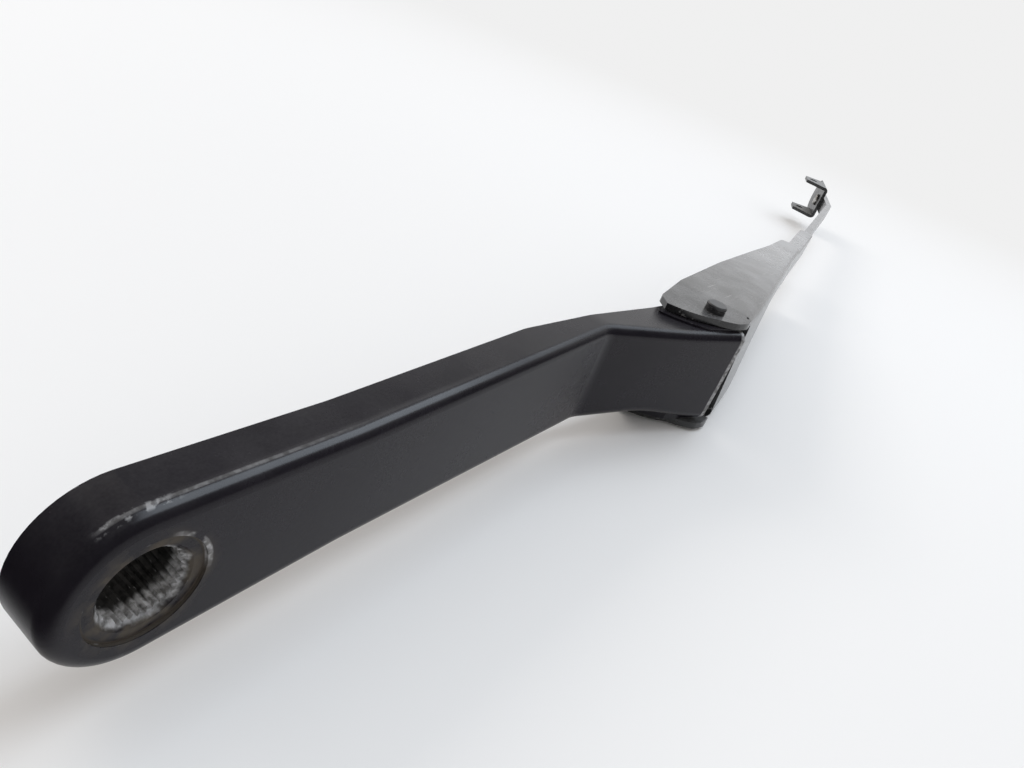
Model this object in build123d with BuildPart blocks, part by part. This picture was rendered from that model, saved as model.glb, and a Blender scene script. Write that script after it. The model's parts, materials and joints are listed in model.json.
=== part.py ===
"""Wiper arm: cast mounting head, sprung hinge, channel retainer, flat rod and blade saddle.

The arm lies on its side. The origin is on the spindle's axis, in the middle of the
socket's plain lead-in, +X runs along the head towards the hinge, +Y is the windscreen
side and +Z is the hinge axis.
"""

import math
import os

from build123d import *

# Head, seen from its outer face; its lower cheek flares out before the hinge
HEAD_END_RADIUS = 13.0
HEAD_WAIST_X = 36.0
HEAD_WAIST_HALF = 12.3
HEAD_CREASE_X = 118.5
HEAD_CREASE_HALF = 14.2
HEAD_CHEEK_HALF = 12.9
HEAD_CHEEK_START = 30.0
HEAD_FLARE_HALF = 17.0
HEAD_FLARE_START = 24.0
HEAD_FLARE_END = 46.0
HEAD_BLEND_RADIUS = 60.0
HEAD_EDGE_RADIUS = 2.5

# Head, seen from the side
HEAD_DEPTH = 10.0
HEAD_BACK_KINK_X = 93.7
HEAD_BEND = 22.6
HEAD_HINGE_LENGTH = 52.75
CREASE_RADIUS = 10.0
LUG_RADIUS = 9.5

# Hollow underside of the head
HEAD_WALL = 3.0
HEAD_POCKET_START = 12.0
HEAD_POCKET_END = 101.0
RIB_THICKNESS = 2.2
RIB_STATIONS = (40.0, 70.0)
RIB_DROP = 1.5

# Serrated taper socket and nut seat
BOSS_RADIUS = 9.4
BOSS_END = 12.6
SOCKET_OUTER_RADIUS = 6.1
SOCKET_INNER_RADIUS = 6.7
SOCKET_CHAMFER = 0.8
TOOTH_COUNT = 36
TOOTH_DEPTH = 0.45
SOCKET_LAND_RADIUS = 7.0
SOCKET_LAND_LENGTH = 2.5
NUT_SEAT_RADIUS = 8.7
NUT_SEAT_DEPTH = 0.6

# Hinge
PIN_FROM_END = 7.55
PIN_INWARD = 8.8
PIN_RADIUS = 2.6
PIN_HEAD_RADIUS = 3.0
PIN_COLLAR_HEIGHT = 1.0
PIN_GROOVE = 0.4
PIN_HEAD_HEIGHT = 0.9
PIN_TAIL_HEIGHT = 1.2
PIN_CHAMFER = 0.3
BUSH_RADIUS = 4.0
BUSH_INNER_END = 4.4
RUNNING_CLEARANCE = 0.05
SEAT_CLEARANCE = 0.02
LAND_HEIGHT = 0.6
LAND_MARGIN = 2.3
SIDE_CLEARANCE = 0.3
SLOT_HALF = 3.2
SLOT_START = 26.5
SLOT_FLOOR = 2.4
SLOT_CORNER_RADIUS = 2.0

# Spring anchor pin in the head, measured from the hinge pin along the retainer
ANCHOR_ALONG = -7.4
ANCHOR_INWARD = 7.4
ANCHOR_RADIUS = 2.0
ANCHOR_HALF = 10.5
ANCHOR_CHAMFER = 0.4

# Retainer channel, measured from the hinge pin
ARM_ANGLE = 8.4
SHEET = 1.9
WEB_OUTER = -8.2
WEB_START = 10.3
BEND_RADIUS = 3.0
FLANGE_TIP = (-12.4, 11.2)
FLANGE_FRONT_MID = (-6.4, -1.3)
FLANGE_FRONT_END = (4.2, -8.2)
FLANGE_BACK = ((-8.4, 14.2), (13.0, 14.2), (58.0, 11.2), (98.0, 7.1), (130.0, 3.6), (159.0, 1.6))
FLANGE_TIP_RADIUS = 3.0
NOTCH_START = 7.6
NOTCH_DEPTH = 1.7
CHANNEL_END = 160.0
CHANNEL_END_HALF = 10.0
NECK_START = 168.0
NECK_END = 223.0
NECK_LIP_RADIUS = 1.0
NECK_EDGE_RADIUS = 1.2
SEAM_WIDTH = 1.4

# Rod: tail joggled off the web to take the spring hook
ROD_WIDTH = 9.0
ROD_THICKNESS = 3.4
ROD_TAIL = 113.4
ROD_TAIL_INWARD = 0.2
ROD_JOGGLE = (126.0, 137.0)
ROD_BEND = 356.0
ROD_BEND_RADIUS = 6.0
ROD_END_ANGLE = 19.3
ROD_END_LENGTH = 50.0
ROD_TAIL_HOLE = 117.0
ROD_TAIL_HOLE_RADIUS = 1.9
ROD_TAIL_CORNER = 2.0
ROD_TIP_FLAT = 0.2
CRIMP_CLEARANCE = 0.05

# Blade saddle, measured from the rod's tip
SADDLE_SHEET = 2.0
SADDLE_HALF = 11.2
SADDLE_START = -27.0
SADDLE_END = 17.0
SADDLE_TIP_FLAT = 1.0
SADDLE_BEND_RADIUS = 2.6
SADDLE_EAR_DEPTH = 13.5
SADDLE_EAR_END = -1.0
SADDLE_EAR_RAKE = (6.0, 4.0)
SADDLE_EAR_LIP = 2.0
SADDLE_PIN_ALONG = -13.0
SADDLE_PIN_INWARD = 8.5
SADDLE_PIN_RADIUS = 2.6
SADDLE_RIVET_ALONG = -14.0
SADDLE_RIVET_RADIUS = 2.4
SADDLE_RIVET_HEAD = 4.0
SADDLE_RIVET_HEIGHT = 1.6
SADDLE_RIVET_CHAMFER = 0.6

# Spring link, measured from the hinge pin along and across the retainer
LINK_HALF = 2.0
LINK_WIDTH = 3.2
LINK_EYE_RADIUS = 3.7
LINK_END = (20.0, 5.8)
LINK_BOW = ((-5.6, 11.6), (-2.2, 14.2), (5.6, 14.4), (11.6, 11.4))
LINK_HOLE_RADIUS = 2.0
LINK_END_RADIUS = 3.5

# Tension spring
SPRING_RADIUS = 5.0
SPRING_WIRE = 1.8
SPRING_PITCH = 2.4
SPRING_FLAT_COUNT = 8
SPRING_HOOK_REACH = 7.5
SPRING_HOOK_RADIUS = 3.4
SPRING_HOOK_ARC = 200.0

# Longer than any cut through the sheet parts needs to be
CUT = 60.0


def turned(angle):
    """Unit vector in the ground plane at an angle from +X, in degrees."""
    return Vector(math.cos(math.radians(angle)), math.sin(math.radians(angle)), 0)


# Working planes: the bent end of the head, the retainer and the rod's bent end
outer_face = Plane.XZ.offset(BOSS_END - SOCKET_LAND_LENGTH / 2)
face_y = outer_face.origin.Y
section = Plane(origin=(HEAD_CREASE_X, face_y, 0), x_dir=turned(-HEAD_BEND), z_dir=(0, 0, 1))
pin_centre = section.from_local_coords(Vector(HEAD_HINGE_LENGTH - PIN_FROM_END, PIN_INWARD, 0))
arm = Plane(origin=pin_centre, x_dir=turned(ARM_ANGLE), z_dir=(0, 0, 1))
inward = turned(ARM_ANGLE + 90)
web_inner = WEB_OUTER + SHEET
web_plane = Plane(origin=pin_centre + inward * web_inner, x_dir=turned(ARM_ANGLE), z_dir=inward * -1)
rod_inward = web_inner + CRIMP_CLEARANCE + ROD_THICKNESS / 2
rod_bend = arm.from_local_coords(Vector(ROD_BEND, rod_inward, 0))
rod_end = Plane(
    origin=rod_bend + turned(ROD_END_ANGLE) * ROD_END_LENGTH,
    x_dir=turned(ROD_END_ANGLE),
    z_dir=(0, 0, 1),
)
rod_end_inward = turned(ROD_END_ANGLE + 90)
saddle_back = Plane(
    origin=rod_end.origin + rod_end_inward * (ROD_THICKNESS / 2),
    x_dir=turned(ROD_END_ANGLE),
    z_dir=rod_end_inward * -1,
)
anchor_centre = arm.from_local_coords(Vector(ANCHOR_ALONG, ANCHOR_INWARD, 0))

# Heights of the lands and flanges above and below the middle of the hinge
land_top = HEAD_CHEEK_HALF + LAND_HEIGHT
land_low = HEAD_FLARE_HALF + LAND_HEIGHT
inner_top = land_top + SIDE_CLEARANCE
inner_low = land_low + SIDE_CLEARANCE
outer_top = inner_top + SHEET
outer_low = inner_low + SHEET


def head_side(margin=0.0):
    """Side outline of the head: flat outer face, bent end, round lug and sloping back."""
    lug = section.from_local_coords(Vector(HEAD_HINGE_LENGTH - LUG_RADIUS, PIN_INWARD, 0))
    back = face_y + HEAD_DEPTH
    kink = Vector(HEAD_BACK_KINK_X, back, 0)
    reach = lug - kink
    back_angle = math.degrees(math.atan2(reach.Y, reach.X) + math.asin(LUG_RADIUS / reach.length))
    lug_end = lug + turned(-HEAD_BEND) * LUG_RADIUS
    lug_middle = lug + turned((90 + back_angle - HEAD_BEND) / 2) * LUG_RADIUS
    lug_back = lug + turned(90 + back_angle) * LUG_RADIUS
    crease = section.origin
    head_end = section.from_local_coords(Vector(HEAD_HINGE_LENGTH, 0, 0))
    start = -2 * HEAD_END_RADIUS
    with BuildSketch() as side:
        with BuildLine():
            Polyline((start, back), (start, face_y), crease, head_end, lug_end)
            ThreePointArc(lug_end, lug_middle, lug_back)
            Polyline(lug_back, kink, (start, back))
        make_face()
        fillet(side.vertices().sort_by_distance(crease)[0], radius=CREASE_RADIUS)
        fillet(side.vertices().sort_by_distance(kink)[0], radius=2 * CREASE_RADIUS)
        if margin:
            offset(amount=-margin, mode=Mode.REPLACE)
    return side.sketch


def head_outline(wall=0.0, start=-HEAD_END_RADIUS, end=HEAD_CREASE_X + 2 * HEAD_HINGE_LENGTH):
    """Outline of the head seen from its outer face, less an even wall, between two stations."""
    far = HEAD_CREASE_X + HEAD_HINGE_LENGTH + LUG_RADIUS
    with BuildSketch(Plane.XZ) as outline:
        with BuildLine():
            Polyline(
                (0, HEAD_END_RADIUS),
                (HEAD_WAIST_X, HEAD_WAIST_HALF),
                (HEAD_CREASE_X, HEAD_CREASE_HALF),
                (HEAD_CREASE_X + HEAD_CHEEK_START, HEAD_CHEEK_HALF),
                (far, HEAD_CHEEK_HALF),
                (far, -HEAD_FLARE_HALF),
                (HEAD_CREASE_X + HEAD_FLARE_END, -HEAD_FLARE_HALF),
                (HEAD_CREASE_X + HEAD_FLARE_START, -HEAD_CHEEK_HALF),
                (HEAD_CREASE_X, -HEAD_CREASE_HALF),
                (HEAD_WAIST_X, -HEAD_WAIST_HALF),
                (0, -HEAD_END_RADIUS),
            )
            ThreePointArc((0, -HEAD_END_RADIUS), (-HEAD_END_RADIUS, 0), (0, HEAD_END_RADIUS))
        make_face()
        corners = [
            corner for corner in outline.vertices() if HEAD_END_RADIUS < corner.X < far - HEAD_WALL
        ]
        fillet(corners, radius=HEAD_BLEND_RADIUS)
        if wall:
            offset(amount=-wall, mode=Mode.REPLACE)
            with Locations(((start + end) / 2, 0)):
                Rectangle(end - start, 4 * HEAD_END_RADIUS, mode=Mode.INTERSECT)
            stations = outline.vertices().group_by(Axis.X)
            fillet(stations[0] + stations[-1], radius=wall / 2)
    return outline.sketch


def on_arm(point):
    """Ground-plane point of a pair measured along and across the retainer from the hinge pin."""
    return arm.from_local_coords(Vector(point[0], point[1], 0))


def flange_outline(margin=0.0):
    """Plan outline of a retainer flange, with an even margin added."""
    web_end = on_arm((CHANNEL_END, WEB_OUTER))
    back = [on_arm(point) for point in FLANGE_BACK]
    with BuildSketch() as plan:
        with BuildLine():
            ThreePointArc(on_arm(FLANGE_TIP), on_arm(FLANGE_FRONT_MID), on_arm(FLANGE_FRONT_END))
            Polyline(on_arm(FLANGE_FRONT_END), web_end, *reversed(back), on_arm(FLANGE_TIP))
        make_face()
        fillet(plan.vertices().sort_by_distance(back[0])[0], radius=FLANGE_TIP_RADIUS)
        fillet(plan.vertices().sort_by_distance(back[-1])[0], radius=FLANGE_TIP_RADIUS)
        if margin:
            offset(amount=margin, mode=Mode.REPLACE)
    return plan.sketch


def channel_block(wall=0.0):
    """Tapered block that the retainer is folded round, less a wall at its web and both sides."""
    sections = ((WEB_START, outer_top, outer_low), (CHANNEL_END, CHANNEL_END_HALF, CHANNEL_END_HALF))
    with BuildPart() as block:
        for station, top, low in sections:
            across = Plane(origin=on_arm((station, 0)), x_dir=(0, 0, 1), z_dir=turned(ARM_ANGLE))
            with BuildSketch(across):
                with Locations(((top - low) / 2, -WEB_OUTER - wall)):
                    Rectangle(top + low - 2 * wall, CUT, align=(Align.CENTER, Align.MAX))
        loft(ruled=True)
        folds = [
            edge
            for edge in block.edges()
            if edge.length > CUT and arm.to_local_coords(edge.center()).Y < 0
        ]
        fillet(folds, radius=BEND_RADIUS - wall)
        with BuildSketch(arm.offset(wall - outer_low)):
            with Locations((WEB_START, 0)):
                Rectangle(CUT, 2 * CUT, align=(Align.MAX, Align.CENTER))
        extrude(amount=outer_top + outer_low - 2 * wall)
    return block.part


os.makedirs("parts", exist_ok=True)

# Mounting head: side outline and face outline intersected, hollow underside, socket and lug
with BuildPart() as mounting_head:
    extrude(head_side(), amount=2 * HEAD_END_RADIUS, both=True)
    extrude(head_outline(), amount=4 * HEAD_END_RADIUS, both=True, mode=Mode.INTERSECT)

    outer_faces = [face for face in mounting_head.faces() if face.normal_at().Y < -0.8]
    rim_edges = [
        edge
        for face in outer_faces
        for edge in face.edges()
        if abs(edge.center().Z) > HEAD_WAIST_HALF - HEAD_WALL or edge.center().X < 0
    ]
    fillet(rim_edges, radius=HEAD_EDGE_RADIUS)

    floor = Location((0, face_y + HEAD_WALL, 0))
    pocket = head_outline(HEAD_WALL, HEAD_POCKET_START, HEAD_POCKET_END).moved(floor)
    extrude(pocket, amount=-2 * HEAD_DEPTH, mode=Mode.SUBTRACT)

    with BuildSketch(outer_face.offset(-HEAD_WALL)):
        with Locations([(station, 0) for station in RIB_STATIONS]):
            Rectangle(RIB_THICKNESS, 2 * (HEAD_WAIST_HALF - HEAD_WALL / 2))
        with Locations(((HEAD_POCKET_START + HEAD_POCKET_END) / 2, 0)):
            Rectangle(HEAD_POCKET_END - HEAD_POCKET_START + HEAD_WALL, RIB_THICKNESS)
    extrude(amount=-(HEAD_DEPTH - HEAD_WALL - RIB_DROP))

    with BuildSketch(outer_face.offset(-HEAD_WALL)):
        Circle(BOSS_RADIUS)
    extrude(amount=-(BOSS_END - HEAD_WALL))

    with BuildSketch() as land:
        add(flange_outline(LAND_MARGIN))
        add(head_side(HEAD_EDGE_RADIUS), mode=Mode.INTERSECT)
    root = HEAD_CHEEK_HALF - HEAD_WALL
    extrude(land.sketch.moved(Location((0, 0, root))), amount=land_top - root)
    extrude(land.sketch.moved(Location((0, 0, -root))), amount=root - land_low)

    with BuildSketch(section) as slot:
        with Locations((SLOT_START, SLOT_FLOOR)):
            Rectangle(2 * HEAD_HINGE_LENGTH, 2 * HEAD_HINGE_LENGTH, align=(Align.MIN, Align.MIN))
        fillet(slot.vertices().sort_by_distance(section.origin)[0], radius=SLOT_CORNER_RADIUS)
    extrude(amount=SLOT_HALF, both=True, mode=Mode.SUBTRACT)

    with Locations(pin_centre):
        Cylinder(BUSH_RADIUS + SEAT_CLEARANCE, 4 * HEAD_END_RADIUS, mode=Mode.SUBTRACT)
    with Locations(anchor_centre):
        Cylinder(ANCHOR_RADIUS + SEAT_CLEARANCE, 4 * HEAD_END_RADIUS, mode=Mode.SUBTRACT)

    with BuildSketch(outer_face):
        Circle(NUT_SEAT_RADIUS)
    extrude(amount=-NUT_SEAT_DEPTH, mode=Mode.SUBTRACT)

    for depth, radius in ((0.0, SOCKET_OUTER_RADIUS), (BOSS_END, SOCKET_INNER_RADIUS)):
        with BuildSketch(outer_face.offset(-depth)):
            with BuildLine():
                half_pitch = 180.0 / TOOTH_COUNT
                crests = [turned(2 * k * half_pitch) * radius for k in range(TOOTH_COUNT)]
                roots = [
                    turned((2 * k + 1) * half_pitch) * (radius - TOOTH_DEPTH) for k in range(TOOTH_COUNT)
                ]
                Polyline(*[point for pair in zip(crests, roots) for point in pair], close=True)
            make_face()
    loft(ruled=True, mode=Mode.SUBTRACT)

    with BuildSketch(outer_face.offset(-BOSS_END)):
        Circle(SOCKET_LAND_RADIUS)
    extrude(amount=SOCKET_LAND_LENGTH, mode=Mode.SUBTRACT)

    with BuildSketch(outer_face.offset(-NUT_SEAT_DEPTH)):
        Circle(SOCKET_OUTER_RADIUS + SOCKET_CHAMFER)
    extrude(amount=-(SOCKET_CHAMFER + 2 * TOOTH_DEPTH), taper=45, mode=Mode.SUBTRACT)

mounting_head.part.label = "mounting_head"
export_step(mounting_head.part, "parts/mounting_head.step")

# Anchor pin for the spring link, pressed across the head
with BuildPart() as anchor_pin:
    with Locations(anchor_centre):
        Cylinder(ANCHOR_RADIUS, 2 * ANCHOR_HALF)
    chamfer(anchor_pin.edges().filter_by(GeomType.CIRCLE), length=ANCHOR_CHAMFER)

anchor_pin.part.label = "anchor_pin"
export_step(anchor_pin.part, "parts/anchor_pin.step")

# Two plain bushes in the hinge lug
with BuildPart() as hinge_bushes:
    for inner_end, outer_end in ((BUSH_INNER_END, land_top), (-BUSH_INNER_END, -land_low)):
        with BuildSketch(arm.offset(inner_end)):
            Circle(BUSH_RADIUS)
            Circle(PIN_RADIUS + RUNNING_CLEARANCE, mode=Mode.SUBTRACT)
        extrude(amount=outer_end - inner_end)

hinge_bushes.part.label = "hinge_bushes"
export_step(hinge_bushes.part, "parts/hinge_bushes.step")

# Hinge pin through both flanges: collar, groove and head above, riveted tail below
with BuildPart() as hinge_pin:
    head_start = outer_top + PIN_COLLAR_HEIGHT + PIN_GROOVE
    stages = (
        (-outer_low, -outer_low - PIN_TAIL_HEIGHT, PIN_HEAD_RADIUS),
        (-outer_low, head_start, PIN_RADIUS),
        (outer_top, outer_top + PIN_COLLAR_HEIGHT, PIN_HEAD_RADIUS),
        (head_start, head_start + PIN_HEAD_HEIGHT, PIN_HEAD_RADIUS),
    )
    for stage_start, stage_end, radius in stages:
        with BuildSketch(arm.offset(stage_start)):
            Circle(radius)
        extrude(amount=stage_end - stage_start)
    rims = hinge_pin.edges().filter_by(GeomType.CIRCLE).sort_by(Axis.Z)
    chamfer([rims[0], rims[-1]], length=PIN_CHAMFER)

hinge_pin.part.label = "hinge_pin"
export_step(hinge_pin.part, "parts/hinge_pin.step")

# Retainer: sheet channel open to the windscreen side, its end folded round the rod
with BuildPart() as retainer:
    extrude(flange_outline(), amount=outer_top)
    extrude(flange_outline(), amount=-outer_low)
    add(channel_block(), mode=Mode.INTERSECT)
    add(channel_block(SHEET), mode=Mode.SUBTRACT)

    with BuildSketch(arm):
        with Locations((NOTCH_START, WEB_OUTER)):
            Rectangle(WEB_START - NOTCH_START, 2 * NOTCH_DEPTH, align=(Align.MIN, Align.CENTER))
    extrude(amount=CUT, both=True, mode=Mode.SUBTRACT)

    neck_half = ROD_WIDTH / 2 + CRIMP_CLEARANCE + SHEET
    neck_depth = ROD_THICKNESS + 2 * CRIMP_CLEARANCE + 2 * SHEET
    with BuildSketch(web_plane):
        with BuildLine():
            Polyline(
                (CHANNEL_END - 1, CHANNEL_END_HALF - BEND_RADIUS),
                (NECK_START, neck_half),
                (NECK_END - SHEET, neck_half),
                (NECK_END - SHEET, -neck_half),
                (NECK_START, -neck_half),
                (CHANNEL_END - 1, BEND_RADIUS - CHANNEL_END_HALF),
                close=True,
            )
        make_face()
    extrude(amount=SHEET)
    with BuildSketch(arm) as neck:
        with Locations((NECK_START, WEB_OUTER)):
            Rectangle(NECK_END - NECK_START, neck_depth, align=(Align.MIN, Align.MIN))
        fillet(neck.vertices().group_by(Axis.X)[-1], radius=NECK_LIP_RADIUS)
    extrude(amount=neck_half, both=True)
    neck_edges = [
        edge
        for edge in retainer.edges().filter_by(GeomType.LINE)
        if edge.length > NECK_END - NECK_START - 2 * SHEET
        and arm.to_local_coords(edge.center()).X > NECK_START
        and abs(abs(edge.center().Z) - neck_half) < 0.01
    ]
    fillet(neck_edges, radius=NECK_EDGE_RADIUS)
    with BuildSketch(arm):
        with Locations((CHANNEL_END + 1, rod_inward)):
            Rectangle(
                2 * NECK_END, ROD_THICKNESS + 2 * CRIMP_CLEARANCE, align=(Align.MIN, Align.CENTER)
            )
    extrude(amount=ROD_WIDTH / 2 + CRIMP_CLEARANCE, both=True, mode=Mode.SUBTRACT)
    with BuildSketch(web_plane):
        with Locations((NECK_START - 1, 0)):
            Rectangle(2 * NECK_END, SEAM_WIDTH, align=(Align.MIN, Align.CENTER))
    extrude(amount=-CUT, mode=Mode.SUBTRACT)

    with Locations(pin_centre):
        Cylinder(PIN_RADIUS + SEAT_CLEARANCE, 2 * CUT, mode=Mode.SUBTRACT)

retainer.part.label = "retainer"
export_step(retainer.part, "parts/retainer.step")

# Rod: flat bar in the neck, cranked towards the windscreen before the saddle
with BuildPart() as arm_rod:
    with BuildSketch():
        with BuildLine() as bar:
            Polyline(
                on_arm((ROD_TAIL, ROD_TAIL_INWARD)),
                on_arm((ROD_JOGGLE[0], ROD_TAIL_INWARD)),
                on_arm((ROD_JOGGLE[1], rod_inward)),
                rod_bend,
                rod_end.origin,
            )
            fillet(bar.vertices().sort_by(Axis.X)[1:-1], radius=ROD_BEND_RADIUS)
        trace(line_width=ROD_THICKNESS)
    extrude(amount=ROD_WIDTH / 2, both=True)
    ends = arm_rod.edges().filter_by(lambda edge: abs(edge.length - ROD_THICKNESS) < 0.01)
    fillet(ends.sort_by(Axis.X)[-2:], radius=(ROD_WIDTH - ROD_TIP_FLAT) / 2)
    fillet(ends.sort_by(Axis.X)[:2], radius=ROD_TAIL_CORNER)
    with Locations(web_plane):
        with Locations((ROD_TAIL_HOLE, 0, 0)):
            Cylinder(ROD_TAIL_HOLE_RADIUS, 8 * ROD_THICKNESS, mode=Mode.SUBTRACT)
    with Locations(saddle_back):
        with Locations((SADDLE_RIVET_ALONG, 0, 0)):
            Cylinder(SADDLE_RIVET_RADIUS + SEAT_CLEARANCE, 8 * ROD_THICKNESS, mode=Mode.SUBTRACT)
    with BuildSketch(saddle_back.offset(ROD_THICKNESS)):
        with Locations((SADDLE_RIVET_ALONG, 0)):
            Circle(SADDLE_RIVET_HEAD)
    extrude(amount=-(SADDLE_RIVET_HEAD - SADDLE_RIVET_RADIUS), taper=45, mode=Mode.SUBTRACT)

arm_rod.part.label = "arm_rod"
export_step(arm_rod.part, "parts/arm_rod.step")

# Blade saddle: U bracket riveted to the rod's end, pin holes through both ears
with BuildPart() as blade_saddle:
    with BuildSketch(saddle_back.offset(-SEAT_CLEARANCE)) as tongue:
        with Locations((SADDLE_START, 0)):
            Rectangle(SADDLE_END - SADDLE_START, 2 * SADDLE_HALF, align=(Align.MIN, Align.CENTER))
        fillet(tongue.vertices().group_by(Axis.X)[-1], radius=SADDLE_HALF - SADDLE_TIP_FLAT / 2)
    extrude(amount=-(SADDLE_SHEET + SADDLE_EAR_DEPTH))
    long_edges = [
        edge
        for edge in blade_saddle.edges().filter_by(GeomType.LINE)
        if edge.length > SADDLE_HALF
        and abs(saddle_back.to_local_coords(edge.center()).Z + SEAT_CLEARANCE) < 0.01
        and abs(edge.center().Z) > 1
    ]
    fillet(long_edges, radius=SADDLE_BEND_RADIUS)
    with BuildSketch(saddle_back.offset(-SEAT_CLEARANCE - SADDLE_SHEET)):
        Rectangle(2 * CUT, 2 * (SADDLE_HALF - SADDLE_SHEET))
    extrude(amount=-CUT, mode=Mode.SUBTRACT)
    web_back = ROD_THICKNESS / 2 + SEAT_CLEARANCE
    ear_top = web_back + SADDLE_SHEET + SADDLE_EAR_DEPTH
    with BuildSketch(rod_end) as ear:
        with BuildLine():
            Polyline(
                (SADDLE_START, web_back),
                (SADDLE_END, web_back),
                (SADDLE_END, web_back + SADDLE_SHEET),
                (SADDLE_EAR_END, web_back + SADDLE_SHEET),
                (SADDLE_EAR_END - SADDLE_EAR_RAKE[1], ear_top),
                (SADDLE_START + SADDLE_EAR_RAKE[0], ear_top),
                (SADDLE_START, web_back + SADDLE_SHEET + SADDLE_EAR_LIP),
                close=True,
            )
        make_face()
    extrude(amount=2 * SADDLE_HALF, both=True, mode=Mode.INTERSECT)
    with Locations(rod_end):
        with Locations((SADDLE_PIN_ALONG, web_back + SADDLE_SHEET + SADDLE_PIN_INWARD, 0)):
            Cylinder(SADDLE_PIN_RADIUS, 4 * SADDLE_HALF, mode=Mode.SUBTRACT)
    with Locations(saddle_back):
        with Locations((SADDLE_RIVET_ALONG, 0, 0)):
            Cylinder(SADDLE_RIVET_RADIUS + SEAT_CLEARANCE, 8 * ROD_THICKNESS, mode=Mode.SUBTRACT)

blade_saddle.part.label = "blade_saddle"
export_step(blade_saddle.part, "parts/blade_saddle.step")

# Rivet holding the saddle to the rod
with BuildPart() as saddle_rivet:
    grip = ROD_THICKNESS + SADDLE_SHEET + SEAT_CLEARANCE
    rivet_plane = Plane(
        origin=saddle_back.from_local_coords(Vector(SADDLE_RIVET_ALONG, 0, ROD_THICKNESS)),
        x_dir=turned(ROD_END_ANGLE),
        z_dir=rod_end_inward,
    )
    with BuildSketch(rivet_plane):
        Circle(SADDLE_RIVET_RADIUS)
    extrude(amount=grip + SEAT_CLEARANCE)
    with BuildSketch(rivet_plane):
        Circle(SADDLE_RIVET_HEAD - SEAT_CLEARANCE)
    extrude(amount=SADDLE_RIVET_HEAD - SADDLE_RIVET_RADIUS, taper=45)
    with BuildSketch(rivet_plane.offset(grip + SEAT_CLEARANCE)):
        Circle(SADDLE_RIVET_HEAD)
    extrude(amount=SADDLE_RIVET_HEIGHT)
    rivet_axis = Axis(rivet_plane.origin, rivet_plane.z_dir)
    chamfer(saddle_rivet.edges().sort_by(rivet_axis)[-1], length=SADDLE_RIVET_CHAMFER)

saddle_rivet.part.label = "saddle_rivet"
export_step(saddle_rivet.part, "parts/saddle_rivet.step")

# Spring link: flat C plate that bows round the hinge pin when the arm is lifted
with BuildPart() as spring_link:
    with BuildSketch():
        with BuildLine() as bow:
            Polyline(anchor_centre, *[on_arm(point) for point in LINK_BOW], on_arm(LINK_END))
            fillet(bow.vertices().sort_by(Axis.X)[1:-1], radius=LINK_WIDTH)
        trace(line_width=LINK_WIDTH)
        with Locations(anchor_centre):
            Circle(LINK_EYE_RADIUS)
            Circle(ANCHOR_RADIUS + RUNNING_CLEARANCE, mode=Mode.SUBTRACT)
        with Locations(on_arm(LINK_END)):
            Circle(LINK_END_RADIUS)
            Circle(LINK_HOLE_RADIUS, mode=Mode.SUBTRACT)
    extrude(amount=LINK_HALF, both=True)

spring_link.part.label = "spring_link"
export_step(spring_link.part, "parts/spring_link.step")

# Tension spring: coil drawn as flat-sided turns, with hooks in the link and the rod's tail
with BuildPart() as tension_spring:
    hook_near = on_arm(LINK_END)
    hook_far = on_arm((ROD_TAIL_HOLE, ROD_TAIL_INWARD))
    pull = (hook_far - hook_near).normalized()
    span = (hook_far - hook_near).length
    turns = int((span - 2 * SPRING_HOOK_REACH) / SPRING_PITCH)
    start = (span - turns * SPRING_PITCH) / 2
    coil = Plane(origin=hook_near + pull * start, x_dir=(0, 0, 1), z_dir=pull)
    for step in range(2 * turns + 1):
        valley = step % 2 == 0
        with BuildSketch(coil.offset(step * SPRING_PITCH / 2)):
            RegularPolygon(SPRING_RADIUS - (SPRING_WIRE / 2 if valley else 0), SPRING_FLAT_COUNT)
    loft(ruled=True)
    leg = start + SPRING_WIRE / 2 - SPRING_HOOK_RADIUS
    hooks = (
        (hook_near + pull * SPRING_HOOK_RADIUS, coil.x_dir * SPRING_HOOK_RADIUS, pull),
        (hook_far - pull * SPRING_HOOK_RADIUS, coil.y_dir * SPRING_HOOK_RADIUS, pull * -1),
    )
    for eye, across, towards_coil in hooks:
        with BuildSketch(Plane(origin=eye + across, z_dir=towards_coil)) as wire:
            RegularPolygon(SPRING_WIRE / 2, SPRING_FLAT_COUNT)
        extrude(wire.sketch, amount=leg)
        revolve(wire.sketch, axis=Axis(eye, towards_coil.cross(across)), revolution_arc=SPRING_HOOK_ARC)

tension_spring.part.label = "tension_spring"
export_step(tension_spring.part, "parts/tension_spring.step")
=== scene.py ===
"""Wiper arm: worn paint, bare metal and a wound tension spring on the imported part, on a pale floor.

Everything is in metres in the part's own frame: the spindle runs along Y through the origin,
+X runs along the mounting head to the hinge and +Z is the hinge axis.
"""

import json

import bmesh
import bpy
import numpy as np
from mathutils import Matrix, Vector


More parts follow.
